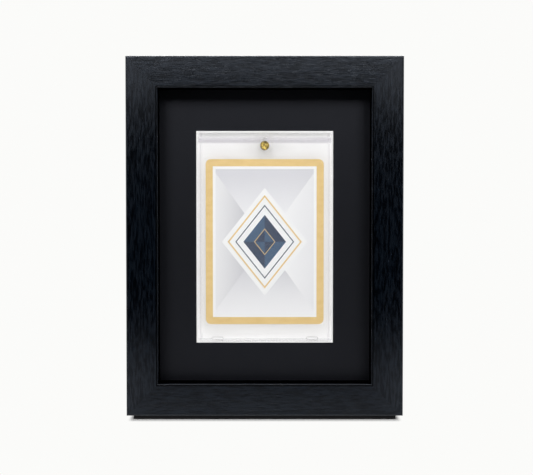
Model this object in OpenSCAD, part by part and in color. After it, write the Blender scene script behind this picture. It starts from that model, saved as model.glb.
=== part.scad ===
// Framed display case for one trading card
//
// A deep black box frame stands on two long thin feet or hangs on a sawtooth strip. Spacers hold a
// mount board back from the rails. A clear card case of two shells is pushed into the board's
// bevelled window from the front. Two magnets keep its lid shut, and the lid turns on two ribs
// at its foot.
//
// X runs to the right, Y from front to back and Z up. The origin is the middle of the footprint,
// on the surface that the feet stand on. All sizes are in millimetres.

/* [Frame rails] */
// Width over the outside of the frame
frame_w = 146; // [130:1:180]
// Height over the outside of the frame
frame_h = 189.5; // [170:0.5:230]
// Width of a rail's front face, from the outer edge to the sight edge
rail_w = 16.7; // [14.5:0.1:20]
// Depth of a rail from its front face to its back face
rail_d = 25; // [24:0.5:40]
// Thickness of the lip that hangs over the spacers
lip_t = 3.5; // [2.5:0.5:5]
// Width of the rebate ledge behind that lip
ledge_w = 5.5; // [4:0.5:7]
// Radius of the rails' outer front edge
edge_r = 0.9; // [0.3:0.1:1.5]
// Radius of the rails' outer back edge
back_edge_r = 0.5; // [0.2:0.1:1]
// Radius of the bead along the sight edge
bead_r = 0.3; // [0.2:0.05:0.8]
// How far the bead lies below the front face
bead_drop = 0.3; // [0.1:0.05:0.6]
// Width of the quirk groove beside the bead
quirk_w = 0.4; // [0.2:0.1:1]
// Depth of the quirk groove below the front face
quirk_d = 0.8; // [0.5:0.1:1.5]

/* [Corner nails] */
// Distances from the frame's outer edges to the heels of the V nails in each corner
nail_steps = [3, 6.6]; // [two distances, 2 to 7]
// Length of each arm of a V nail
nail_arm = 4; // [2:0.5:5]
// Thickness of a V nail's steel
nail_t = 0.6; // [0.4:0.1:1]
// Depth that a V nail is driven into the rails' backs
nail_d = 10; // [6:1:14]

/* [Recess and boards] */
// Distance from the rails' front faces back to the mount board
recess_d = 15; // [12:0.5:16]
// How far the spacers' inner faces stand back from the sight edge
spacer_setback = 0.3; // [0:0.1:1]
// Gap between the boards or spacers and the rebate walls, each side
board_clear = 0.5; // [0.2:0.1:1]
// Thickness of the mount board
mat_t = 1.4; // [1:0.1:2]
// Width of the white bevel round the mount board's window
bevel_w = 0.85; // [0.5:0.05:1]
// Thickness of the white backing sheet
sheet_t = 0.6; // [0.3:0.1:1]
// Thickness of the back board
back_t = 2.5; // [2:0.1:3]
// How far the back board's rear face lies under the rails' back faces
back_sink = 0.3; // [0.1:0.1:0.6]

/* [Card case] */
// Width of the clear case
case_w = 71.4; // [70:0.2:78]
// Height of the clear case
case_h = 111.9; // [110:0.1:118]
// Radius of the case's corners
case_r = 1; // [0.5:0.1:2]
// Thickness of the lid, which is the front shell
lid_t = 4; // [3.5:0.1:4.5]
// Thickness of the back shell
shell_t = 4.5; // [4.2:0.1:5]
// Gap between the two shells when they are shut
part_gap = 0.1; // [0.06:0.02:0.2]
// How far the lid's front face stands in front of the mount board
case_proud = 4.2; // [3.8:0.1:4.6]
// How far the window and the case in it lie below the middle of the frame
window_drop = 0.7; // [0:0.1:3]
// Gap between the case and the window that it is pushed into, each side
case_clear = 0.3; // [0.1:0.1:0.5]
// Gap between the back shell and the backing sheet
seat_clear = 0.2; // [0.1:0.1:0.4]
// Height of the raised window on the lid's front
window_rise = 0.5; // [0.3:0.1:0.8]
// Width of the gentle slope round the raised window
window_run = 1.3; // [0.5:0.1:1.5]
// Distance from the case's side edges to the raised window
window_side = 2.3; // [2:0.1:3]
// Distance from the case's bottom edge to the raised window
window_foot = 4.3; // [3.5:0.1:5]
// Distance from the case's top edge to the raised window
window_head = 3.8; // [3:0.1:4.2]

/* [Lid hinge and thumb notch] */
// Radius of the two ribs that the lid turns on
rib_r = 0.75; // [0.5:0.05:0.9]
// Length of each rib
rib_len = 6.4; // [5:0.1:12]
// Distance from the middle of the case to the middle of each rib
rib_x = 25.5; // [15:0.5:29]
// Height of the ribs' axis above the case's bottom edge
rib_up = 1.4; // [1:0.1:2]
// Running gap round each rib in its socket
rib_clear = 0.07; // [0.03:0.01:0.1]
// Width of the thumb notch along the lid's top edge
notch_w = 15; // [10:0.5:20]
// How far down the lid's back face the thumb notch reaches
notch_down = 3.3; // [2:0.1:3.6]
// How far forward on the lid's top edge the thumb notch reaches
notch_in = 2.2; // [1.5:0.1:2.8]

/* [Card and its recess] */
// Width of the card
card_w = 63.5; // [60:0.5:65]
// Height of the card
card_h = 88.9; // [85:0.1:90]
// Thickness of the card
card_t = 0.8; // [0.3:0.05:0.8]
// Radius of the card's corners
card_r = 2.8; // [1:0.1:3.5]
// Gap round the card's edges in its recess
card_clear = 0.3; // [0.2:0.1:0.5]
// Depth of the card recess in the back shell
card_deep = 0.9; // [0.9:0.05:1.2]
// Gap under the card in its recess
card_lift = 0.05; // [0:0.01:0.05]
// Distance from the case's bottom edge to the card's bottom edge
card_foot = 9; // [7:0.1:10]
// Radius of the round reliefs that keep the card's corners free
relief_r = 3.2; // [2:0.1:4]
// Distance from the recess's edges in to the middle of each relief
relief_in = 2.3; // [1.5:0.1:3]

/* [Magnets] */
// Radius of both magnets
magnet_r = 2.4; // [1.5:0.1:2.5]
// Length of the magnet in the lid
magnet_t = 3; // [2:0.1:3]
// Length of the magnet in the back shell
keeper_t = 2.2; // [1.5:0.1:2.4]
// Gap round the magnets in their bores
magnet_clear = 0.05; // [0.02:0.01:0.1]
// Distance from the case's top edge down to the middle of the magnets
magnet_down = 6.8; // [6.6:0.1:7.4]
// Clear plastic left in front of the lid's magnet
magnet_skin = 1.2; // [1:0.1:1.4]
// Radius of the locating boss round the lid's magnet
boss_r = 4.3; // [3.5:0.1:4.5]
// Height of that boss
boss_h = 0.6; // [0.4:0.1:0.8]
// Gap round the boss and behind it in the back shell
boss_clear = 0.3; // [0.2:0.05:0.4]

/* [Turn buttons] */
// Distance from the frame's middle up or down to each pair of turn buttons
button_z = 48; // [30:1:56]
// Radius of a turn button's round end
button_r = 3.6; // [3:0.1:4]
// Radius of a turn button's tip
tip_r = 2.4; // [1.5:0.1:3]
// Distance from a turn button's screw to the end of its tip
button_reach = 14; // [12:0.5:17]
// Thickness of a turn button
button_t = 0.8; // [0.5:0.1:1]
// Gap between a turn button and the rail, and between it and the screw's head
button_play = 0.05; // [0.02:0.01:0.1]
// Radius of a turn button screw's shank
screw_r = 1.45; // [1:0.05:1.8]
// Running gap between the screw and the button's hole
screw_clear = 0.07; // [0.03:0.01:0.1]
// Radius of the screw's head
screw_head_r = 2.9; // [2.4:0.1:3.4]
// Radius of the flat on top of the screw's head
screw_top_r = 2.2; // [1.5:0.1:2.4]
// Height of the screw's head
screw_head_h = 1.1; // [0.8:0.1:1.2]
// Length of each slot of the cross in the screw's head
slot_l = 3.2; // [2:0.1:3.6]
// Width of those slots
slot_w = 0.7; // [0.4:0.1:1]
// Depth that the screw goes into the rail
screw_d = 9; // [6:0.5:12]

/* [Hanger] */
// Length of the sawtooth hanger
hanger_l = 46; // [36:1:60]
// Width of the hanger's strip
hanger_w = 7; // [5:0.5:8]
// Thickness of the strip
hanger_t = 0.7; // [0.5:0.1:1]
// How far the strip's middle stands off the rail
hanger_off = 1.3; // [0.8:0.1:1.4]
// Length of the flat tab at each end
hanger_tab = 6.5; // [5:0.5:9]
// Distance from one tooth to the next
tooth_pitch = 2.4; // [1.6:0.1:4]
// Depth of the teeth
tooth_d = 1.6; // [0.8:0.1:2.2]
// Radius of a hanger nail
pin_r = 0.7; // [0.5:0.05:0.9]
// Depth that a hanger nail goes into the rail
pin_d = 8; // [5:0.5:12]
// Radius of a hanger nail's head
pin_head_r = 1.5; // [1.2:0.1:2]
// Height of a hanger nail's head
pin_head_h = 0.5; // [0.3:0.1:0.8]

/* [Feet and bumpers] */
// Depth of each of the two long feet, from front to back
foot_d = 6; // [4:0.5:8]
// Height of the feet
foot_t = 2; // [1:0.1:4]
// Distance from the frame's sides to the ends of the feet
foot_side = 3.8; // [2:0.1:20]
// Distance from the rails' rounded edges to the feet
foot_in = 0.1; // [0:0.1:2]
// Radius of the wall bumpers
bumper_r = 3.6; // [3:0.1:4]
// Thickness of the wall bumpers
bumper_t = 2.5; // [2.3:0.1:4]
// Distance from the frame's sides to the middle of each wall bumper
bumper_side = 8; // [5:0.5:16]
// Size of the bevel round the face of a long foot or a wall bumper
pad_bevel = 0.5; // [0.2:0.1:0.8]

/* [Hidden] */

$fn = 64;
// Overrun of a cutting shape past the face that it leaves through
cut = 1;

// Colours as the photograph shows them
black_wood = [0.1, 0.1, 0.11];
mount_black = [0.13, 0.13, 0.14];
foam_white = [0.92, 0.92, 0.92];
board_brown = [0.5, 0.36, 0.24];
steel_grey = [0.7, 0.7, 0.72];
magnet_gold = [0.72, 0.56, 0.18];
card_gold = [0.89, 0.77, 0.53];
rubber_black = [0.08, 0.08, 0.08];
clear_plastic = [0.86, 0.9, 0.95, 0.45];

// Planes from front to back
overall_d = rail_d + bumper_t;
front_y = -overall_d / 2;
rail_back_y = front_y + rail_d;
lip_back_y = front_y + lip_t;
mat_y = front_y + recess_d;
carrier_y = mat_y + mat_t;
lid_y = mat_y - case_proud;
lid_back_y = lid_y + lid_t;
shell_y = lid_back_y + part_gap;
part_y = lid_back_y + part_gap / 2;
sheet_y = shell_y + shell_t + seat_clear;
carrier_t = sheet_y - carrier_y;
filler_y = sheet_y + sheet_t;
back_y = rail_back_y - back_sink - back_t;
filler_t = back_y - filler_y;

// Sizes across the frame
mid_z = foot_t + frame_h / 2;
top_z = foot_t + frame_h;
sight_w = frame_w - 2 * rail_w;
sight_h = frame_h - 2 * rail_w;
rail_back_w = rail_w - ledge_w;
board_w = frame_w - 2 * (rail_back_w + board_clear);
board_h = frame_h - 2 * (rail_back_w + board_clear);
well_w = sight_w + 2 * spacer_setback;
well_h = sight_h + 2 * spacer_setback;
spacer_t = (board_w - well_w) / 2;
spacer_d = mat_y - lip_back_y;

// Places in the case
case_mid_z = mid_z - window_drop;
case_foot_z = case_mid_z - case_h / 2;
case_top_z = case_mid_z + case_h / 2;
card_mid_z = case_foot_z + card_foot + card_h / 2;
magnet_z = case_top_z - magnet_down;
rib_z = case_foot_z + rib_up;
recess_w = card_w + 2 * card_clear;
recess_h = card_h + 2 * card_clear;
boss_back_y = lid_back_y + boss_h;
magnet_y = lid_y + magnet_skin;
boss_seat_d = part_gap + boss_clear;
keeper_seat_y = boss_back_y + boss_seat_d;

// Places on the back
button_x = frame_w / 2 - rail_back_w / 2;
button_y = rail_back_y + button_play;
screw_seat_y = button_y + button_t + button_play;
hanger_z = top_z - rail_back_w / 2;
bumper_z = foot_t + rail_back_w / 2;

// A plate between y = 0 and y = t with the outline that is drawn in X and Z
module plate(t) {
    translate([0, t, 0])
        rotate([90, 0, 0])
            linear_extrude(t)
                children();
}

// A flat board, centred on X and Z, between y = 0 and y = t
module board(w, h, t) {
    plate(t)
        square([w, h], center = true);
}

// A round rod along Y from y = 0
module rod(r, length) {
    rotate([-90, 0, 0])
        cylinder(r = r, h = length);
}

// Outline of a rectangle with round corners
module rounded_rect(w, h, r) {
    square([w - 2 * r, h], center = true);
    square([w, h - 2 * r], center = true);
    for (x = [-1, 1], z = [-1, 1]) {
        translate([x * (w / 2 - r), z * (h / 2 - r)])
            circle(r);
    }
}

// A block whose front rectangle is w by h, and whose sides lean out by flare over the depth t
module sloped_block(w, h, t, flare) {
    intersection() {
        linear_extrude(h + 4 * abs(flare), center = true)
            sloped_section(w, t, flare);
        rotate([0, 90, 0])
            linear_extrude(w + 4 * abs(flare), center = true)
                sloped_section(h, t, flare);
    }
}

// Section of that block: w wide at y = 0 and wider by flare on each side at y = t
module sloped_section(w, t, flare) {
    polygon([
        [-w / 2, 0],
        [w / 2, 0],
        [w / 2 + flare, t],
        [-w / 2 - flare, t]
    ]);
}

// Section of a rail. X runs from the outer edge to the sight edge and Y from front to back
module rail_section() {
    bead_edge = rail_w - 2 * bead_r;
    difference() {
        union() {
            square([rail_back_w, rail_d]);
            square([bead_edge, lip_t]);
            translate([bead_edge, bead_drop + bead_r])
                square([2 * bead_r, lip_t - bead_drop - bead_r]);
            translate([rail_w - bead_r, bead_drop + bead_r])
                circle(bead_r);
        }
        translate([bead_edge - quirk_w, -cut])
            square([quirk_w, quirk_d + cut]);
        outer_edge_cut(edge_r);
        translate([0, rail_d])
            mirror([0, 1])
                outer_edge_cut(back_edge_r);
    }
}

// What rounding takes off the section's corner at the origin
module outer_edge_cut(r) {
    difference() {
        translate([-cut, -cut])
            square([r + cut, r + cut]);
        translate([r, r])
            circle(r);
    }
}

// A rail with mitred ends. Its outer edge lies on z = 0 and its body hangs below
module mitred_rail(length) {
    intersection() {
        rotate([0, 90, 0])
            linear_extrude(length, center = true)
                rail_section();
        plate(rail_d)
            polygon([
                [-length / 2, 0],
                [length / 2, 0],
                [length / 2 - rail_w, -rail_w],
                [-length / 2 + rail_w, -rail_w]
            ]);
    }
}

// A rail along the top or bottom, where side is 1 or -1
module level_rail(side) {
    difference() {
        translate([0, front_y, mid_z + side * frame_h / 2])
            rotate([0, side > 0 ? 0 : 180, 0])
                mitred_rail(frame_w);
        v_nails();
    }
}

// A rail along the left or right, where side is -1 or 1
module upright_rail(side) {
    difference() {
        translate([side * frame_w / 2, front_y, mid_z])
            rotate([0, side * 90, 0])
                mitred_rail(frame_h);
        v_nails();
        for (up = [-1, 1]) {
            translate([side * button_x, rail_back_y - screw_d, mid_z + up * button_z])
                rod(screw_r, screw_d + cut);
        }
    }
}

// The V nails of all four corners, flush with the rails' backs
module v_nails() {
    for (x = [-1, 1], z = [-1, 1], step = nail_steps) {
        translate([x * (frame_w / 2 - step), rail_back_y - nail_d, mid_z + z * (frame_h / 2 - step)])
            plate(nail_d)
                mirror([x > 0 ? 1 : 0, 0])
                    mirror([0, z > 0 ? 1 : 0]) {
                        square([nail_arm, nail_t]);
                        square([nail_t, nail_arm]);
                    }
    }
}

// Pilot holes for the hanger's nails in the top rail
module hanger_pilots() {
    for (x = [-1, 1]) {
        translate([x * (hanger_l - hanger_tab) / 2, rail_back_y - pin_d, hanger_z])
            rod(pin_r, pin_d + cut);
    }
}

module rail_top() {
    color(black_wood)
        difference() {
            level_rail(1);
            hanger_pilots();
        }
}

module rail_bottom() {
    color(black_wood)
        level_rail(-1);
}

module rail_left() {
    color(black_wood)
        upright_rail(-1);
}

module rail_right() {
    color(black_wood)
        upright_rail(1);
}

module corner_v_nails() {
    color(steel_grey)
        v_nails();
}

// A spacer along the top or bottom of the well, as long as the boards are wide
module level_spacer(side) {
    color(mount_black)
        translate([0, lip_back_y, mid_z + side * (well_h + spacer_t) / 2])
            board(board_w, spacer_t, spacer_d);
}

// A spacer along the left or right of the well, between the other two
module upright_spacer(side) {
    color(mount_black)
        translate([side * (well_w + spacer_t) / 2, lip_back_y, mid_z])
            board(spacer_t, well_h, spacer_d);
}

module spacer_top() {
    level_spacer(1);
}

module spacer_bottom() {
    level_spacer(-1);
}

module spacer_left() {
    upright_spacer(-1);
}

module spacer_right() {
    upright_spacer(1);
}

module mount_board() {
    window_w = case_w + 2 * case_clear;
    window_h = case_h + 2 * case_clear;
    color(mount_black)
        difference() {
            translate([0, mat_y, mid_z])
                board(board_w, board_h, mat_t);
            translate([0, mat_y - cut, case_mid_z])
                board(window_w, window_h, mat_t + 2 * cut);
            translate([0, mat_y, case_mid_z])
                sloped_block(window_w + 2 * bevel_w, window_h + 2 * bevel_w, bevel_w, -bevel_w);
        }
}

module holder_carrier() {
    color(foam_white)
        difference() {
            translate([0, carrier_y, mid_z])
                board(board_w, board_h, carrier_t);
            translate([0, carrier_y - cut, case_mid_z])
                board(case_w + 2 * case_clear, case_h + 2 * case_clear, carrier_t + 2 * cut);
        }
}

module backing_sheet() {
    color(foam_white)
        translate([0, sheet_y, mid_z])
            board(board_w, board_h, sheet_t);
}

module filler_board() {
    color(foam_white)
        translate([0, filler_y, mid_z])
            board(board_w, board_h, filler_t);
}

module back_board() {
    color(board_brown)
        translate([0, back_y, mid_z])
            board(board_w, board_h, back_t);
}

// The back shell, with the card recess, the sockets of the lid's ribs and the keeper's bore
module case_back() {
    color(clear_plastic)
        difference() {
            translate([0, shell_y, case_mid_z])
                plate(shell_t)
                    rounded_rect(case_w, case_h, case_r);
            card_recess();
            rib_rods(rib_r + rib_clear, rib_len + 2 * rib_clear);
            translate([0, shell_y - cut, magnet_z])
                rod(boss_r + boss_clear, keeper_seat_y - shell_y + cut);
            translate([0, shell_y, magnet_z])
                rod(magnet_r + magnet_clear, keeper_seat_y - shell_y + keeper_t + magnet_clear);
        }
}

// Space for the card, open to the front, with round reliefs at its corners
module card_recess() {
    translate([0, shell_y - cut, card_mid_z])
        plate(card_deep + cut) {
            rounded_rect(recess_w, recess_h, card_r + card_clear);
            for (x = [-1, 1], z = [-1, 1]) {
                translate([x * (recess_w / 2 - relief_in), z * (recess_h / 2 - relief_in)])
                    circle(relief_r);
            }
        }
}

// Two rods with domed ends on the lid's axis, for its ribs or for their sockets
module rib_rods(r, length) {
    for (x = [-1, 1]) {
        translate([x * rib_x, part_y, rib_z])
            rotate([0, 90, 0])
                rotate_extrude()
                    half_rod_section(r, length);
    }
}

// Half of a rod's section lengthwise, on the right of the axis
module half_rod_section(r, length) {
    straight = length / 2 - r;
    intersection() {
        union() {
            square([2 * r, 2 * straight], center = true);
            for (z = [-straight, straight]) {
                translate([0, z])
                    circle(r);
            }
        }
        translate([0, -length])
            square([2 * r, 2 * length]);
    }
}

module keeper_magnet() {
    color(magnet_gold)
        translate([0, keeper_seat_y, magnet_z])
            rod(magnet_r, keeper_t);
}

module card() {
    color(card_gold)
        translate([0, shell_y + card_deep - card_lift - card_t, card_mid_z])
            plate(card_t)
                rounded_rect(card_w, card_h, card_r);
}

// The lid, with its raised window, magnet boss, thumb notch, sloped foot and ribs
module case_lid() {
    color(clear_plastic) {
        difference() {
            union() {
                translate([0, lid_y + window_rise, case_mid_z])
                    plate(lid_t - window_rise)
                        rounded_rect(case_w, case_h, case_r);
                raised_window();
                translate([0, lid_y + window_rise, magnet_z])
                    rod(boss_r, boss_back_y - lid_y - window_rise);
            }
            translate([0, magnet_y - magnet_clear, magnet_z])
                rod(magnet_r + magnet_clear, lid_t + boss_h);
            thumb_notch();
            foot_slope();
        }
        rib_rods(rib_r, rib_len);
    }
}

// The plateau on the lid's front that the card is seen through
module raised_window() {
    flat_w = case_w - 2 * window_side;
    flat_h = case_h - window_foot - window_head;
    translate([0, lid_y, case_mid_z + (window_foot - window_head) / 2])
        sloped_block(flat_w, flat_h, window_rise, window_run);
}

// Part of a large cylinder that scoops out the middle of the lid's top back edge
module thumb_notch() {
    lean = atan2(notch_in, notch_down);
    bite = notch_down * sin(lean);
    scoop_r = (pow(bite, 2) + pow(notch_w / 2, 2)) / (2 * bite);
    translate([0, lid_back_y, case_top_z])
        rotate([lean, 0, 0])
            translate([0, scoop_r - bite, 0])
                cylinder(r = scoop_r, h = 4 * (notch_down + notch_in), center = true, $fn = 160);
}

// Slope of the lid's foot below the ribs' axis, which lets the lid turn on its ribs
module foot_slope() {
    drop = rib_up + cut;
    translate([0, lid_back_y, rib_z])
        rotate([90, 0, 90])
            linear_extrude(case_w + 2 * cut, center = true)
                polygon([
                    [0, 0],
                    [cut, 0],
                    [cut, -drop],
                    [-drop, -drop]
                ]);
}

module lid_magnet() {
    color(magnet_gold)
        translate([0, magnet_y, magnet_z])
            rod(magnet_r, magnet_t);
}

// A turn button on the left or right rail, where side is -1 or 1, that points to the frame's
// middle. up is -1 for the lower pair and 1 for the upper pair
module turn_button(side, up) {
    gap = button_reach - tip_r;
    lean = acos((button_r - tip_r) / gap);
    color(steel_grey)
        translate([side * button_x, button_y, mid_z + up * button_z])
            plate(button_t)
                mirror([side > 0 ? 1 : 0, 0])
                    difference() {
                        union() {
                            circle(button_r);
                            translate([gap, 0])
                                circle(tip_r);
                            polygon([
                                button_r * [cos(lean), sin(lean)],
                                button_r * [cos(lean), -sin(lean)],
                                [gap, 0] + tip_r * [cos(lean), -sin(lean)],
                                [gap, 0] + tip_r * [cos(lean), sin(lean)]
                            ]);
                        }
                        circle(screw_r + screw_clear);
                    }
}

module turn_button_upper_left() {
    turn_button(-1, 1);
}

module turn_button_upper_right() {
    turn_button(1, 1);
}

module turn_button_lower_left() {
    turn_button(-1, -1);
}

module turn_button_lower_right() {
    turn_button(1, -1);
}

// Pan head screws that the turn buttons turn on
module turn_button_screws() {
    shank = screw_seat_y - rail_back_y + screw_d;
    color(steel_grey)
        for (x = [-1, 1], up = [-1, 1]) {
            translate([x * button_x, screw_seat_y, mid_z + up * button_z]) {
                translate([0, -shank, 0])
                    rod(screw_r, shank);
                difference() {
                    rotate([-90, 0, 0])
                        cylinder(h = screw_head_h, r1 = screw_head_r, r2 = screw_top_r);
                    for (turn = [0, 90]) {
                        translate([0, screw_head_h / 2, 0])
                            rotate([0, turn + 45, 0])
                                board(slot_l, slot_w, screw_head_h);
                    }
                }
            }
        }
}

// A steel strip that stands off the rail between its two tabs, with teeth along its lower edge
module sawtooth_hanger() {
    tab_x = hanger_l / 2 - hanger_tab;
    flat_x = tab_x - hanger_off;
    teeth = floor(2 * flat_x / tooth_pitch) - 1;
    color(steel_grey)
        translate([0, rail_back_y, hanger_z])
            difference() {
                linear_extrude(hanger_w, center = true)
                    polygon([
                        [-hanger_l / 2, 0],
                        [-tab_x, 0],
                        [-flat_x, hanger_off],
                        [flat_x, hanger_off],
                        [tab_x, 0],
                        [hanger_l / 2, 0],
                        [hanger_l / 2, hanger_t],
                        [tab_x, hanger_t],
                        [flat_x, hanger_off + hanger_t],
                        [-flat_x, hanger_off + hanger_t],
                        [-tab_x, hanger_t],
                        [-hanger_l / 2, hanger_t]
                    ]);
                for (i = [0 : teeth - 1]) {
                    translate([(i - (teeth - 1) / 2) * tooth_pitch, 0, -hanger_w / 2])
                        plate(hanger_off + hanger_t + cut)
                            polygon([
                                [-tooth_pitch / 2, -cut / 10],
                                [tooth_pitch / 2, -cut / 10],
                                [0, tooth_d]
                            ]);
                }
                for (x = [-1, 1]) {
                    translate([x * (hanger_l - hanger_tab) / 2, -cut, 0])
                        rod(pin_r, hanger_t + 2 * cut);
                }
            }
}

module hanger_nails() {
    shank = hanger_t + pin_d;
    color(steel_grey)
        for (x = [-1, 1]) {
            translate([x * (hanger_l - hanger_tab) / 2, rail_back_y + hanger_t, hanger_z])
                rotate([-90, 0, 0]) {
                    translate([0, 0, -shank])
                        cylinder(r = pin_r, h = shank);
                    cylinder(h = pin_head_h, r1 = pin_head_r, r2 = pin_head_r / 2);
                }
        }
}

// A round pad from z = 0 up, with a bevel round its face at z = height
module pad(r, height) {
    cylinder(r = r, h = height - pad_bevel);
    translate([0, 0, height - pad_bevel])
        cylinder(h = pad_bevel, r1 = r, r2 = r - pad_bevel);
}

// Section of a long foot: w wide, with a bevel round its face at z = 0
module foot_section(w) {
    polygon([
        [-w / 2 + pad_bevel, 0],
        [w / 2 - pad_bevel, 0],
        [w / 2, pad_bevel],
        [w / 2, foot_t],
        [-w / 2, foot_t],
        [-w / 2, pad_bevel]
    ]);
}

// A long foot along X, centred on X and Y, from z = 0 up
module long_foot(length, depth) {
    intersection() {
        rotate([90, 0, 90])
            linear_extrude(length, center = true)
                foot_section(depth);
        rotate([90, 0, 0])
            linear_extrude(depth, center = true)
                foot_section(length);
    }
}

module base_feet() {
    front_foot_y = front_y + edge_r + foot_in + foot_d / 2;
    back_foot_y = rail_back_y - back_edge_r - foot_in - foot_d / 2;
    color(rubber_black)
        for (y = [front_foot_y, back_foot_y]) {
            translate([0, y, 0])
                long_foot(frame_w - 2 * foot_side, foot_d);
        }
}

module wall_bumpers() {
    color(rubber_black)
        for (x = [-1, 1]) {
            translate([x * (frame_w / 2 - bumper_side), rail_back_y, bumper_z])
                rotate([-90, 0, 0])
                    pad(bumper_r, bumper_t);
        }
}

rail_top();
rail_bottom();
rail_left();
rail_right();
corner_v_nails();
spacer_top();
spacer_bottom();
spacer_left();
spacer_right();
mount_board();
holder_carrier();
backing_sheet();
filler_board();
back_board();
turn_button_upper_left();
turn_button_upper_right();
turn_button_lower_left();
turn_button_lower_right();
turn_button_screws();
sawtooth_hanger();
hanger_nails();
base_feet();
wall_bumpers();
case_back();
keeper_magnet();
card();
case_lid();
lid_magnet();
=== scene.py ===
"""Looks of the framed trading card display case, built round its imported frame.

All lengths are in metres. X runs to the right, Y from front to back and Z up from the shelf.
"""

import math

import bpy
from mathutils import Euler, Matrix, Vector


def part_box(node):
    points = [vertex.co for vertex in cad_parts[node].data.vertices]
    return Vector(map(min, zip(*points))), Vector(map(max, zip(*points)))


MM = 0.001

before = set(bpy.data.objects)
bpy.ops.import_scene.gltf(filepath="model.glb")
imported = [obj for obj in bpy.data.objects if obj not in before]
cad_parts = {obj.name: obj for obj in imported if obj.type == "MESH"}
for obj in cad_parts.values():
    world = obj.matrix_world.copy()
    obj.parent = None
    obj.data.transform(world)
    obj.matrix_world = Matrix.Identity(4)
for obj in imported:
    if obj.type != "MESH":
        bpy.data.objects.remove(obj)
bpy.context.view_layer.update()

# Places that the frame gives
RAIL_LOW, RAIL_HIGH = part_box("rail_bottom")[0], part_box("rail_top")[1]
FRONT_Y = RAIL_LOW.y
FRAME_MID = Vector(((RAIL_LOW.x + RAIL_HIGH.x) / 2, FRONT_Y, (RAIL_LOW.z + RAIL_HIGH.z) / 2))
FRAME_HALF_W = (RAIL_HIGH.x - RAIL_LOW.x) / 2
FRAME_HALF_H = (RAIL_HIGH.z - RAIL_LOW.z) / 2
BACK_Y = RAIL_HIGH.y
FEET_HALF_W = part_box("base_feet")[1].x
LID_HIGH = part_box("case_lid")[1]
OPENING_HALF_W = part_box("rail_right")[0].x
OPENING_HALF_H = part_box("rail_top")[0].z - FRAME_MID.z
CARD_LOW, CARD_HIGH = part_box("card")
CARD_MID = (CARD_LOW + CARD_HIGH) / 2
CARD_HALF_W = (CARD_HIGH.x - CARD_LOW.x) / 2
CARD_HALF_H = (CARD_HIGH.z - CARD_LOW.z) / 2

# The photograph's size and the middle of the frame in it, in pixels
PHOTO_W, PHOTO_H = 533, 475
FRAME_MID_PX = (264.7, 236.6)

# The camera's distance in metres and elevation in degrees, and its lens and sensor in millimetres
CAMERA_DISTANCE = 0.550
CAMERA_ELEVATION = 1.67
LENS = 70.7
SENSOR = 36.0

# The colour of everything behind the object
BACKDROP = (0.965, 0.965, 0.95)

# How far from the object the table fades into the backdrop, and how fast that widens behind the object
FADE_ASIDE, FADE_BEFORE, FADE_BEHIND = 3.5 * MM, 6 * MM, 400 * MM
FADE_SPREAD = 0.13

# How far from the sight edge the rails' painted sheen stops rising
SHINE_RISE_W = 16 * MM

# The inks on the card
PRINT_WHITE = (0.94, 0.94, 0.945)
PRINT_GOLD = (0.78, 0.545, 0.205)
NAVY_DARK, NAVY_LIGHT = (0.006, 0.022, 0.062), (0.028, 0.075, 0.15)


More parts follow.
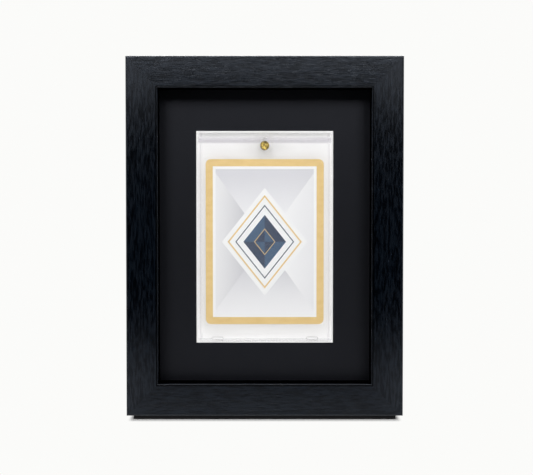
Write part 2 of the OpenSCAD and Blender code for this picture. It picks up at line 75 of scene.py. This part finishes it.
class Graph:
    """One material's or world's node tree, with a short call for each node that this script uses."""

    def __init__(self, owner):
        owner.use_nodes = True
        self.tree = owner.node_tree
        self.tree.nodes.clear()

    def add(self, kind, *sockets, **values):
        """A node. sockets go to its inputs in order, and values are its properties or named inputs."""
        node = self.tree.nodes.new(kind)
        named = {}
        for key, value in values.items():
            if hasattr(node, key):
                setattr(node, key, value)
            else:
                named[key.replace("_", " ")] = value
        for place, value in list(enumerate(sockets)) + list(named.items()):
            if value is None:
                continue
            if isinstance(value, bpy.types.NodeSocket):
                self.tree.links.new(value, node.inputs[place])
            else:
                node.inputs[place].default_value = value
        return node

    def math(self, operation, a, b=None, c=None):
        return self.add("ShaderNodeMath", a, b, c, operation=operation).outputs[0]

    def off(self, value, middle):
        """How far value lies from middle, to either side."""
        return self.math("ABSOLUTE", self.math("SUBTRACT", value, middle))

    def beyond(self, value, limit):
        """How far value lies past limit, or 0."""
        return self.math("MAXIMUM", self.math("SUBTRACT", value, limit), 0.0)

    def step(self, value, low, high, start=0.0, end=1.0):
        """A smooth step from start to end as value goes from low to high."""
        node = self.add("ShaderNodeMapRange", value, low, high, start, end, interpolation_type="SMOOTHSTEP")
        return node.outputs[0]

    def mix(self, factor, a, b):
        """A mix of two colours."""
        node = self.add("ShaderNodeMix", data_type="RGBA")
        for place, value in ((0, factor), (6, a), (7, b)):
            if isinstance(value, bpy.types.NodeSocket):
                self.tree.links.new(value, node.inputs[place])
            elif place:
                node.inputs[place].default_value = (*value, 1.0)
            else:
                node.inputs[place].default_value = value
        return node.outputs[2]

    def place(self):
        """The point's place in the object's own coordinates, which are the frame's."""
        return self.add("ShaderNodeTexCoord").outputs["Object"]

    def split(self, vector):
        return self.add("ShaderNodeSeparateXYZ", vector).outputs

    def facing(self):
        """The direction that the surface faces, as X, Y and Z."""
        return self.split(self.add("ShaderNodeNewGeometry").outputs["True Normal"])

    def stretched(self, vector, sizes):
        """The place divided by the sizes, in metres, that a texture's features have along each axis."""
        scale = tuple(1.0 / s for s in sizes)
        return self.add("ShaderNodeMapping", vector, None, None, scale).outputs[0]

    def noise(self, vector, detail=3.0, roughness=0.5, scale=1.0):
        node = self.add("ShaderNodeTexNoise", Vector=vector, Scale=scale, Detail=detail, Roughness=roughness)
        return node.outputs[0]

    def bump(self, height, depth):
        """A surface raised by up to depth metres where height is 1."""
        return self.add("ShaderNodeBump", Strength=1.0, Distance=depth, Height=height).outputs[0]

    def path(self):
        """The kind of ray that meets the surface, as one output for each kind."""
        return self.add("ShaderNodeLightPath").outputs

    def seen(self):
        """1 for rays that show a backdrop: from the camera, mirrored, or through clear plastic."""
        path = self.path()
        mirrored = self.math("MAXIMUM", path["Is Glossy Ray"], path["Is Transmission Ray"])
        return self.math("MAXIMUM", path["Is Camera Ray"], mirrored)

    def clear(self):
        """A shader that all light passes straight through."""
        return self.add("ShaderNodeBsdfTransparent").outputs[0]

    def shader_mix(self, factor, a, b):
        """A mix of two shaders."""
        return self.add("ShaderNodeMixShader", factor, a, b).outputs[0]

    def surface(self, shader):
        output = self.add("ShaderNodeOutputMaterial")
        self.tree.links.new(shader, output.inputs["Surface"])

    def principled(self, **values):
        node = self.add("ShaderNodeBsdfPrincipled")
        for key, value in values.items():
            socket = node.inputs[key.replace("_", " ")]
            if isinstance(value, bpy.types.NodeSocket):
                self.tree.links.new(value, socket)
            elif isinstance(value, tuple) and len(value) == 3:
                socket.default_value = (*value, 1.0)
            else:
                socket.default_value = value
        return node.outputs[0]


def new_material(name):
    material = bpy.data.materials.new(name)
    return material, Graph(material)


def give(material, *nodes):
    """Puts one material on whole CAD nodes."""
    for name in nodes:
        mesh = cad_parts[name].data
        mesh.materials.clear()
        mesh.materials.append(material)


def wood_grain(g, place, along):
    """Fine streaks, broad streaks and pores along the rail, where along is 0 for X or 2 for Z."""
    def streaks(length, width, detail, roughness):
        sizes = [width, width, width]
        sizes[along] = length
        return g.noise(g.stretched(place, sizes), detail, roughness)

    fine = streaks(5.5 * MM, 0.75 * MM, 2.0, 0.55)
    broad = streaks(60 * MM, 3.2 * MM, 2.0, 0.5)
    pore = g.step(streaks(4.5 * MM, 0.3 * MM, 1.0, 0.5), 0.62, 0.72)
    return fine, broad, pore


def mitre_seam(g, x, z):
    """1 on the thin line where two rails meet."""
    level = g.math("SUBTRACT", g.math("ABSOLUTE", x), FRAME_HALF_W)
    upright = g.math("SUBTRACT", g.off(z, FRAME_MID.z), FRAME_HALF_H)
    return g.step(g.off(level, upright), 0.02 * MM, 0.12 * MM, 1.0, 0.0)


def from_sight_edge(g, x, z):
    """How far a point lies outside the opening that the rails surround."""
    beside = g.math("SUBTRACT", g.math("ABSOLUTE", x), OPENING_HALF_W)
    above = g.math("SUBTRACT", g.off(z, FRAME_MID.z), OPENING_HALF_H)
    return g.math("MAXIMUM", beside, above)


def quirk_groove(g, from_sight, behind_face):
    """1 in the groove beside the bead on the sight edge, where the rails get painted shade."""
    start = g.step(from_sight, 0.50 * MM, 0.56 * MM)
    end = g.step(from_sight, 1.0 * MM, 1.06 * MM, 1.0, 0.0)
    below = g.step(behind_face, 0.05 * MM, 0.15 * MM)
    return g.math("MULTIPLY", g.math("MULTIPLY", start, end), below)


def edge_dust_and_highlight(g, from_sight, behind_face):
    """Pale tone on the edges that face up or down, less beside the opening: partly dust, partly painted
    highlight.
    """
    facing_z = g.facing()[2]
    tilted = g.step(g.math("ABSOLUTE", facing_z), 0.15, 0.6)
    on_edge = g.math("MULTIPLY", tilted, g.step(behind_face, 0.8 * MM, 1.2 * MM, 1.0, 0.0))
    near_sight = g.step(facing_z, -0.3, 0.3, 0.12, 0.38)
    return g.math("MULTIPLY", on_edge, g.step(from_sight, 5 * MM, 10 * MM, near_sight, 1.0))


def black_wood(name, along, depth, contrast, rise):
    """Black wood-grain wrap with streaks along the rail, where along is 0 for X or 2 for Z.

    The streaks are depth metres deep, and contrast is how much more the pale ones shine than the dark ones.
    rise is how much more than the middle the outer edge shines, and how much less the sight edge does: a
    painted sheen for how the light falls across the rail.
    """
    material, g = new_material(name)
    place = g.place()
    x, y, z = g.split(place)
    fine, broad, pore = wood_grain(g, place, along)
    from_sight = from_sight_edge(g, x, z)
    behind_face = g.math("SUBTRACT", y, FRONT_Y)
    quirk = quirk_groove(g, from_sight, behind_face)

    tone = g.step(g.math("ADD", fine, g.math("MULTIPLY", broad, 0.3)), 0.52, 0.78)
    colour = g.mix(tone, (0.0, 0.0004, 0.0012), (0.0022, 0.0042, 0.0076))
    colour = g.mix(pore, colour, (0.0001, 0.0002, 0.0005))
    colour = g.mix(mitre_seam(g, x, z), colour, (0.0003, 0.0004, 0.0005))
    # Painted shade: the groove beside the bead is darkened.
    colour = g.mix(quirk, colour, (0.0, 0.0, 0.0001))
    # Painted highlight, partly dust: a pale tone on the rounded edges that face up or down, for the light
    # they catch from the lamps above and the table below.
    colour = g.mix(edge_dust_and_highlight(g, from_sight, behind_face), colour, (0.066, 0.070, 0.076))

    shine = g.step(fine, 0.38, 0.62, 0.5 - contrast / 2, 0.5 + contrast / 2)
    # Painted sheen: the shine rises from the sight edge to the outer edge.
    shine = g.math("MULTIPLY", shine, g.step(from_sight, 0.0, SHINE_RISE_W, 1.0 - rise, 1.0 + rise))
    # Painted shade: the groove shines less.
    shine = g.math("MULTIPLY", shine, g.step(quirk, 0.0, 1.0, 1.0, 0.45))
    rough = g.step(g.math("ADD", fine, g.math("MULTIPLY", pore, 0.2)), 0.38, 0.68, 0.15, 0.20)
    height = g.math("SUBTRACT", fine, g.math("MULTIPLY", pore, 0.6))
    g.surface(g.principled(Base_Color=colour, Roughness=rough, Normal=g.bump(height, depth),
                           Specular_IOR_Level=shine, Specular_Tint=(0.80, 0.87, 1.0)))
    return material


def mount_card():
    """Black faced mount board. Its cut edges, which face neither front nor back, show the white core.

    The core has a small glow of painted light, most where it faces down and lies in shade, for the light that
    the clear case carries to it.
    """
    material, g = new_material("mount_card")
    place = g.place()
    fibre = g.noise(g.stretched(place, (0.5 * MM,) * 3), 4.0, 0.6)
    cloud = g.noise(g.stretched(place, (30 * MM,) * 3), 2.0, 0.5)
    facing = g.facing()
    core = g.step(g.math("ABSOLUTE", facing[1]), 0.9, 0.95, 1.0, 0.0)
    # Painted light: the white core glows, most where it faces down.
    glow = g.math("MULTIPLY", core, g.step(facing[2], -0.6, 0.0, 0.28, 0.04))
    tone = g.math("ADD", g.math("MULTIPLY", fibre, 0.5), g.math("MULTIPLY", cloud, 0.5))
    black = g.mix(g.step(tone, 0.3, 0.7), (0.0010, 0.0012, 0.0020), (0.0018, 0.0021, 0.0031))
    white = g.mix(fibre, (0.86, 0.86, 0.85), (0.93, 0.93, 0.92))
    colour = g.mix(core, black, white)
    rough = g.step(fibre, 0.3, 0.7, 0.38, 0.45)
    g.surface(g.principled(Base_Color=colour, Roughness=rough, Normal=g.bump(fibre, 0.008 * MM),
                           Specular_IOR_Level=0.49, Specular_Tint=(0.82, 0.85, 1.0),
                           Emission_Color=(1.0, 1.0, 1.0), Emission_Strength=glow))
    return material


def matt(name, dark, light, grain, depth, rough=(0.8, 0.95), specular=0.3, glow=0.0):
    """A matt sheet or moulding with a fine irregular surface, whose features are grain metres across.

    glow is painted light that cut edges give off, for what the clear case carries to them.
    """
    material, g = new_material(name)
    place = g.place()
    fibre = g.noise(g.stretched(place, (grain,) * 3), 4.0, 0.6)
    cloud = g.noise(g.stretched(place, (40 * grain,) * 3), 2.0, 0.5)
    tone = g.math("ADD", g.math("MULTIPLY", fibre, 0.6), g.math("MULTIPLY", cloud, 0.4))
    colour = g.mix(g.step(tone, 0.3, 0.7), dark, light)
    roughness = g.step(fibre, 0.3, 0.7, *rough)
    values = dict(Base_Color=colour, Roughness=roughness, Normal=g.bump(fibre, depth),
                  Specular_IOR_Level=specular)
    if glow:
        # Painted light: cut edges that face sideways glow, and those that face up or down glow less.
        facing = g.facing()
        cut = g.step(g.math("ABSOLUTE", facing[0]), 0.4, 0.6, 0.0, glow)
        cut = g.step(g.math("ABSOLUTE", facing[2]), 0.4, 0.6, cut, 0.35 * glow)
        values.update(Emission_Color=(1.0, 1.0, 1.0), Emission_Strength=cut)
    g.surface(g.principled(**values))
    return material


def fibreboard():
    """Brown fibreboard with fine dark and pale fibres."""
    material, g = new_material("fibreboard")
    place = g.place()
    fibre = g.noise(g.stretched(place, (1.6 * MM, 1.6 * MM, 0.5 * MM)), 5.0, 0.7)
    fleck = g.step(g.noise(g.stretched(place, (0.7 * MM,) * 3), 2.0, 0.5), 0.62, 0.7)
    cloud = g.noise(g.stretched(place, (35 * MM,) * 3), 3.0, 0.5)
    tone = g.math("ADD", g.math("MULTIPLY", fibre, 0.6), g.math("MULTIPLY", cloud, 0.4))
    colour = g.mix(g.step(tone, 0.3, 0.7), (0.20, 0.115, 0.06), (0.36, 0.225, 0.125))
    colour = g.mix(g.math("MULTIPLY", fleck, 0.5), colour, (0.10, 0.055, 0.03))
    rough = g.step(fibre, 0.3, 0.7, 0.62, 0.85)
    g.surface(g.principled(Base_Color=colour, Roughness=rough, Normal=g.bump(fibre, 0.06 * MM)))
    return material


def metal(name, dark, light, rough, brushed, depth):
    """Metal with fine scratches of that length, in metres."""
    material, g = new_material(name)
    place = g.place()
    scratch = g.noise(g.stretched(place, (brushed, 0.06 * MM, 0.12 * MM)), 3.0, 0.6)
    cloud = g.noise(g.stretched(place, (2.5 * MM,) * 3), 3.0, 0.6)
    colour = g.mix(cloud, dark, light)
    roughness = g.step(g.math("ADD", scratch, cloud), 0.7, 1.3, *rough)
    g.surface(g.principled(Base_Color=colour, Metallic=1.0, Roughness=roughness,
                           Normal=g.bump(scratch, depth)))
    return material


def gold_plate():
    """Gold-plated magnet with a dished, blotchy face, and a rim darkened as a painted reflection of the dark
    surroundings.
    """
    material, g = new_material("gold_plate")
    place = g.place()
    x, _, z = g.split(place)
    low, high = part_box("lid_magnet")
    mid = (low + high) / 2
    off_x, off_z = g.math("SUBTRACT", x, mid.x), g.math("SUBTRACT", z, mid.z)
    squares = g.math("ADD", g.math("MULTIPLY", off_x, off_x), g.math("MULTIPLY", off_z, off_z))
    off_axis = g.math("SQRT", squares)
    radius = (high.x - low.x) / 2
    rim = g.step(off_axis, 0.80 * radius, 0.98 * radius)
    blotch = g.noise(g.stretched(place, (1.3 * MM,) * 3), 3.0, 0.6)
    colour = g.mix(g.step(blotch, 0.35, 0.65), (0.20, 0.135, 0.02), (0.66, 0.49, 0.12))
    # Painted reflection: the rim is darkened for the dark surroundings that it mirrors.
    colour = g.mix(rim, colour, (0.26, 0.19, 0.05))
    rough = g.step(blotch, 0.35, 0.7, 0.16, 0.34)
    height = g.math("ADD", g.math("MULTIPLY", blotch, 0.5), g.step(off_axis, 0.0, radius))
    g.surface(g.principled(Base_Color=colour, Metallic=1.0, Roughness=rough,
                           Normal=g.bump(height, 0.12 * MM)))
    return material


def lid_slope_shade(g, place):
    """Painted shade in the clear plastic: how grey it is made, most where the lid slopes up from its top
    edge.
    """
    x, _, z = g.split(place)
    from_top = g.math("SUBTRACT", LID_HIGH.z, z)
    from_side = g.math("SUBTRACT", LID_HIGH.x, g.math("ABSOLUTE", x))
    top_slope_shade = g.step(g.off(from_top, 3.9 * MM), 0.8 * MM, 2.0 * MM, 0.84, 0.0)
    side_slope_shade = g.step(g.off(from_side, 1.4 * MM), 0.4 * MM, 1.1 * MM, 0.25, 0.0)
    return g.math("MAXIMUM", top_slope_shade, side_slope_shade)


def straight_through(g):
    """The share of light that clear plastic doesn't bend, by the kind of ray and the face that it meets."""
    path = g.path()
    passing = g.math("MAXIMUM", path["Is Shadow Ray"], path["Is Diffuse Ray"])
    shape = g.split(g.add("ShaderNodeTexCoord").outputs["Normal"])
    narrow = g.step(g.math("ABSOLUTE", shape[1]), 0.90, 0.98, 0.6, 0.0)
    return g.math("MAXIMUM", passing, g.math("MULTIPLY", path["Is Transmission Ray"], narrow))


def clear_acrylic():
    """Clear plastic, made a little grey by painted shade where the lid slopes up to its raised window.

    Lamps and scattered light pass straight through, so that what is inside is lit. Through the narrow faces
    most of the light that is already inside passes straight too, which softens them.
    """
    material, g = new_material("clear_acrylic")
    place = g.place()
    haze = g.noise(g.stretched(place, (9 * MM,) * 3), 3.0, 0.5)
    rough = g.step(haze, 0.35, 0.75, 0.0, 0.035)
    # Painted shade: the plastic is greyed along the lid's slopes.
    colour = g.mix(lid_slope_shade(g, place), (0.998, 0.998, 1.0), (0.81, 0.80, 0.825))
    glass = g.principled(Base_Color=colour, Roughness=rough, IOR=1.49, Transmission_Weight=1.0,
                         Specular_IOR_Level=0.3)
    g.surface(g.shader_mix(straight_through(g), glass, g.clear()))
    return material


class CardFace:
    """Masks on the card's two faces, from how far a point lies across and up from the card's middle."""

    def __init__(self, g, place):
        x, _, z = g.split(place)
        self.g = g
        self.across = g.off(x, CARD_MID.x)
        self.up = g.off(z, CARD_MID.z)
        self.right_half = self.mask(g.math("SUBTRACT", x, CARD_MID.x))
        self.upper_half = self.mask(g.math("SUBTRACT", z, CARD_MID.z))
        past_diagonal = g.math("SUBTRACT", g.math("DIVIDE", self.across, CARD_HALF_W),
                               g.math("DIVIDE", self.up, CARD_HALF_H))
        self.side_quarters = g.step(past_diagonal, -0.004, 0.004)
        self.medallion = self.diamond(23 * MM, 29 * MM)

    def mask(self, value):
        """0 where value is less than 0 and 1 where it is more, with a soft line between them."""
        return self.g.step(value, -0.03 * MM, 0.03 * MM)

    def rectangle(self, inset):
        """1 inside the rectangle that is inset metres from the card's edges."""
        inside_w = self.g.math("SUBTRACT", CARD_HALF_W - inset, self.across)
        inside_h = self.g.math("SUBTRACT", CARD_HALF_H - inset, self.up)
        return self.mask(self.g.math("MINIMUM", inside_w, inside_h))

    def inside_diamond(self, half_w, half_h):
        """1 at the middle of a diamond, 0 on its outline and less than 0 outside."""
        share_w = self.g.math("DIVIDE", self.across, half_w)
        share_h = self.g.math("DIVIDE", self.up, half_h)
        return self.g.math("SUBTRACT", 1.0, self.g.math("ADD", share_w, share_h))

    def diamond(self, half_w, half_h):
        """1 inside a diamond."""
        return self.g.step(self.inside_diamond(half_w, half_h), -0.006, 0.006)

    def outline(self, half_w, half_h, line_w):
        """1 along a diamond's outline, on a line whose width is line_w of the diamond's half width."""
        off_line = self.g.math("ABSOLUTE", self.inside_diamond(half_w, half_h))
        return self.g.step(self.g.math("SUBTRACT", line_w / 2, off_line), -0.003, 0.003)


def pale_folds(g, face):
    """Four folds that meet on the card's diagonals, each with its own sweep from dark to pale."""
    sweep_x = g.step(face.across, 0.0, CARD_HALF_W)
    sweep_z = g.step(face.up, 0.0, CARD_HALF_H)
    left = g.mix(sweep_x, (0.52, 0.52, 0.56), (0.88, 0.88, 0.89))
    right = g.mix(sweep_x, (0.97, 0.97, 0.975), (0.84, 0.84, 0.86))
    upper = g.mix(sweep_z, (0.96, 0.96, 0.97), (0.68, 0.68, 0.72))
    lower = g.mix(sweep_z, (0.58, 0.58, 0.62), (0.94, 0.94, 0.95))
    upright = g.mix(face.upper_half, lower, upper)
    return g.mix(face.side_quarters, upright, g.mix(face.right_half, left, right))


def faceted_diamond(g, face):
    """Navy facets, and a smaller diamond with a gold outline and the tones the other way round."""
    quarter = g.off(face.right_half, face.upper_half)
    facet = g.mix(quarter, NAVY_DARK, NAVY_LIGHT)
    inner = g.mix(quarter, NAVY_LIGHT, NAVY_DARK)
    facet = g.mix(face.diamond(5.5 * MM, 6.9 * MM), facet, inner)
    return g.mix(face.outline(5.5 * MM, 6.9 * MM, 0.07), facet, PRINT_GOLD)


def front_panel(g, face):
    """Pale folds behind a white diamond with a gold line, a navy line and the faceted diamond."""
    panel = g.mix(face.medallion, pale_folds(g, face), PRINT_WHITE)
    panel = g.mix(face.outline(19.5 * MM, 24.6 * MM, 0.05), panel, PRINT_GOLD)
    panel = g.mix(face.outline(15.5 * MM, 19.5 * MM, 0.045), panel, NAVY_DARK)
    return g.mix(face.diamond(11.5 * MM, 14.5 * MM), panel, faceted_diamond(g, face))


def back_panel(g, face):
    """Two navy tones behind a dark diamond with a gold rim."""
    panel = g.mix(face.side_quarters, (0.02, 0.05, 0.11), (0.03, 0.07, 0.14))
    panel = g.mix(face.medallion, panel, PRINT_GOLD)
    return g.mix(face.diamond(21 * MM, 26.5 * MM), panel, NAVY_DARK)


def card_colour(g, place):
    """The print on both faces, with the bare stock on the card's edges."""
    face = CardFace(g, place)
    worn = g.noise(g.stretched(place, (6 * MM, 6 * MM, 2.5 * MM)), 2.0, 0.5)
    border = g.mix(g.step(worn, 0.3, 0.7), PRINT_GOLD, (0.83, 0.595, 0.24))
    border = g.mix(face.rectangle(3.85 * MM), border, PRINT_WHITE)
    panel = face.rectangle(5.35 * MM)
    front = g.mix(panel, border, front_panel(g, face))
    back = g.mix(panel, border, back_panel(g, face))
    facing_y = g.facing()[1]
    colour = g.mix(g.step(facing_y, -0.1, 0.1), front, back)
    edge = g.step(g.math("ABSOLUTE", facing_y), 0.4, 0.6, 1.0, 0.0)
    return g.mix(edge, colour, (0.86, 0.86, 0.85))


def printed_card():
    """The printed card: a gold border, a white line and a panel of pale folds round a faceted diamond.

    Most of the lamps' light passes it, so that its shadow in the clear case stays weak.
    """
    material, g = new_material("card_print")
    place = g.place()
    stock = g.noise(g.stretched(place, (0.35 * MM,) * 3), 3.0, 0.6)
    rough = g.step(stock, 0.3, 0.7, 0.34, 0.46)
    print_coat = g.principled(Base_Color=card_colour(g, place), Roughness=rough,
                              Normal=g.bump(stock, 0.008 * MM), Coat_Weight=0.15, Coat_Roughness=0.2)
    passing = g.math("MULTIPLY", g.path()["Is Shadow Ray"], 0.92)
    g.surface(g.shader_mix(passing, print_coat, g.clear()))
    return material


def dress_frame():
    # Copies of one wood for the rails, whose streak contrast and painted sheen are set for how each rail
    # catches the light.
    give(black_wood("black_wood_top", 0, 0.04 * MM, 0.22, 0.24), "rail_top")
    give(black_wood("black_wood_bottom", 0, 0.02 * MM, 0.10, 0.16), "rail_bottom")
    give(black_wood("black_wood_upright", 2, 0.02 * MM, 0.20, 0.12), "rail_left", "rail_right")
    strip = matt("black_strip", (0.0004, 0.0004, 0.0006), (0.0008, 0.0009, 0.0012), 0.35 * MM, 0.01 * MM,
                 specular=0.0)
    give(strip, "spacer_top", "spacer_bottom", "spacer_left", "spacer_right")
    give(mount_card(), "mount_board")
    # Painted light: the foam's cut edges glow, to brighten the sheet beside the case.
    foam = matt("foam_board", (0.86, 0.86, 0.855), (0.92, 0.92, 0.915), 0.6 * MM, 0.05 * MM, glow=0.48)
    give(foam, "holder_carrier", "filler_board")
    paper = matt("white_paper", (0.945, 0.94, 0.94), (0.97, 0.965, 0.965), 0.3 * MM, 0.01 * MM)
    give(paper, "backing_sheet")
    give(fibreboard(), "back_board")


def dress_fittings():
    steel = metal("zinc_steel", (0.46, 0.46, 0.48), (0.66, 0.66, 0.67), (0.26, 0.42), 1.2 * MM, 0.01 * MM)
    nail = metal("nail_steel", (0.30, 0.30, 0.31), (0.48, 0.48, 0.49), (0.34, 0.5), 0.6 * MM, 0.01 * MM)
    give(steel, "sawtooth_hanger", "turn_button_screws")
    give(steel, *[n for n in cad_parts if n.startswith("turn_button_") and not n.endswith("screws")])
    give(nail, "corner_v_nails", "hanger_nails")
    rubber = matt("black_rubber", (0.003, 0.003, 0.004), (0.007, 0.007, 0.008), 0.25 * MM, 0.015 * MM,
                  rough=(0.6, 0.8), specular=0.2)
    soft = matt("grey_rubber", (0.33, 0.34, 0.34), (0.42, 0.43, 0.43), 0.3 * MM, 0.01 * MM,
                rough=(0.35, 0.5), specular=0.5)
    give(rubber, "base_feet")
    give(soft, "wall_bumpers")


def dress_case():
    give(clear_acrylic(), "case_lid", "case_back")
    give(gold_plate(), "lid_magnet", "keeper_magnet")
    give(printed_card(), "card")


def plane(name, corners, material):
    """A flat piece of the stage with four corners."""
    mesh = bpy.data.meshes.new(name)
    mesh.from_pydata(corners, [], [(0, 1, 2, 3)])
    piece = bpy.data.objects.new(name, mesh)
    bpy.context.scene.collection.objects.link(piece)
    mesh.materials.append(material)
    return piece


def away_from_object(g, place):
    """0 on the table at the object, and 1 where the table has faded into the backdrop.

    The fade is short beside the feet and in front of them, and long behind, where the soft shadow lies.
    """
    x, y, _ = g.split(place)
    aside = g.beyond(g.math("ABSOLUTE", x), FEET_HALF_W)
    before = g.beyond(FRONT_Y, y)
    behind = g.beyond(y, BACK_Y)
    spread = g.math("MULTIPLY_ADD", behind, FADE_SPREAD, FADE_ASIDE)
    away = g.add("ShaderNodeCombineXYZ", g.math("DIVIDE", aside, spread),
                 g.math("DIVIDE", before, FADE_BEFORE), g.math("DIVIDE", behind, FADE_BEHIND)).outputs[0]
    distance = g.add("ShaderNodeVectorMath", away, operation="LENGTH").outputs["Value"]
    return g.step(distance, 0.0, 1.0)


def table_white():
    """A white table top. It is plain and keeps the shadow near the object, and fades into the backdrop.

    In mirror images and in the light that it sends on, it is a little darker. Its mirror image gives way to
    the backdrop's farther off, and ends in front of the object, which leaves the middle of the rails dark.
    """
    material, g = new_material("table_white")
    place = g.place()
    cloud = g.noise(g.stretched(place, (0.2,) * 3), 2.0, 0.5)
    path = g.path()
    through_plastic = path["Is Transmission Ray"]
    direct = g.math("MAXIMUM", path["Is Camera Ray"], through_plastic)
    mirror = g.math("MULTIPLY", path["Is Glossy Ray"], g.math("SUBTRACT", 1.0, through_plastic))

    white = g.mix(cloud, (0.88, 0.88, 0.875), (0.92, 0.92, 0.915))
    colour = g.mix(direct, (0.65, 0.65, 0.65), white)
    plain = g.principled(Base_Color=colour, Roughness=0.8, Specular_IOR_Level=0.2)
    shown = g.add("ShaderNodeEmission", (*BACKDROP, 1.0), 1.0).outputs[0]
    from_origin = g.add("ShaderNodeVectorMath", place, operation="LENGTH").outputs["Value"]
    mirror_fade = g.math("MULTIPLY", mirror, g.step(from_origin, 0.4, 0.6))
    fade = g.math("MAXIMUM", mirror_fade, g.math("MULTIPLY", direct, away_from_object(g, place)))
    before = g.beyond(FRONT_Y, g.split(place)[1])
    mirror_end = g.math("MULTIPLY", mirror, g.step(before, 0.02, 0.50))
    g.surface(g.shader_mix(mirror_end, g.shader_mix(fade, plain, shown), g.clear()))
    return material


def make_stage():
    """A white table, whose mirror image ends in front of the object, and a dark screen behind the camera."""
    half, near, far = 2.5, FRONT_Y - 1.4, 3.0
    plane("table", [(-half, near, 0), (half, near, 0), (half, far, 0), (-half, far, 0)], table_white())
    dark, g = new_material("screen_black")
    black = g.mix(g.noise(g.place()), (0.0, 0.0, 0.0), (0.01, 0.01, 0.01))
    g.surface(g.principled(Base_Color=black, Roughness=1.0, Specular_IOR_Level=0.0))
    half, y, low, high = 1.6, FRONT_Y - 1.45, -1.2, 1.55
    screen = plane("screen", [(-half, y, low), (half, y, low), (half, y, high), (-half, y, high)], dark)
    screen.visible_camera = False
    screen.visible_transmission = False


def area_light(name, place, target, size, power):
    """A rectangular lamp that points at target and stays out of the camera's sight."""
    data = bpy.data.lights.new(name, "AREA")
    data.shape = "RECTANGLE"
    data.size, data.size_y = size
    data.energy = power
    lamp = bpy.data.objects.new(name, data)
    bpy.context.scene.collection.objects.link(lamp)
    lamp.location = place
    lamp.rotation_euler = (Vector(target) - Vector(place)).to_track_quat("-Z", "Y").to_euler()
    lamp.visible_camera = False
    return lamp


def light_only(lamp, name, nodes):
    """Keeps a lamp's light off everything but these CAD nodes, as flags beside it would."""
    group = bpy.data.collections.new(name)
    for node in nodes:
        group.objects.link(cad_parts[node])
    lamp.light_linking.receiver_collection = group


def make_light():
    """A dim white world, two keys, two fills, a strip for the rails, a top lamp and one behind the object."""
    world = bpy.data.worlds.new("studio")
    bpy.context.scene.world = world
    g = Graph(world)
    lit = g.add("ShaderNodeBackground", (1.0, 1.0, 1.0, 1.0), 0.35).outputs[0]
    shown = g.add("ShaderNodeBackground", (*BACKDROP, 1.0), 1.0).outputs[0]
    output = g.add("ShaderNodeOutputWorld")
    g.tree.links.new(g.shader_mix(g.seen(), lit, shown), output.inputs["Surface"])
    aim = (0, FRONT_Y, FRAME_MID.z)
    for side, name in ((-1, "key_left"), (1, "key_right")):
        area_light(name, (side * 0.42, FRONT_Y - 1.08, 0.74), aim, (0.45, 0.42), 4.15)
    for side, name in ((-1, "fill_left"), (1, "fill_right")):
        fill = area_light(name, (side * 1.0, FRONT_Y - 0.70, 0.25), aim, (0.5, 0.5), 3.3)
        fill.visible_glossy = False
    strip = area_light("strip", (0.0, FRONT_Y - 1.15, 0.345), aim, (0.90, 0.10), 0.39)
    light_only(strip, "rails", ("rail_top", "rail_bottom", "rail_left", "rail_right"))
    area_light("top", (0.0, FRONT_Y - 0.75, 1.05), aim, (0.6, 0.4), 0.8)
    area_light("back", (0.0, FRONT_Y + 1.2, 0.9), aim, (0.8, 0.5), 10.0)


def make_camera():
    """The camera at the photograph's viewing angle, with its picture shifted onto the photograph's frame."""
    data = bpy.data.cameras.new("camera")
    data.sensor_width = SENSOR
    data.lens = LENS
    data.shift_x = (PHOTO_W / 2 - FRAME_MID_PX[0]) / PHOTO_W
    data.shift_y = (FRAME_MID_PX[1] - PHOTO_H / 2) / PHOTO_W
    camera = bpy.data.objects.new("camera", data)
    bpy.context.scene.collection.objects.link(camera)
    tilt = math.radians(CAMERA_ELEVATION)
    camera.location = FRAME_MID + CAMERA_DISTANCE * Vector((0, -math.cos(tilt), math.sin(tilt)))
    camera.rotation_euler = Euler((math.pi / 2 - tilt, 0, 0))
    bpy.context.scene.camera = camera


make_camera()
dress_frame()
dress_fittings()
dress_case()
make_stage()
make_light()
bpy.context.scene.view_settings.view_transform = "Standard"
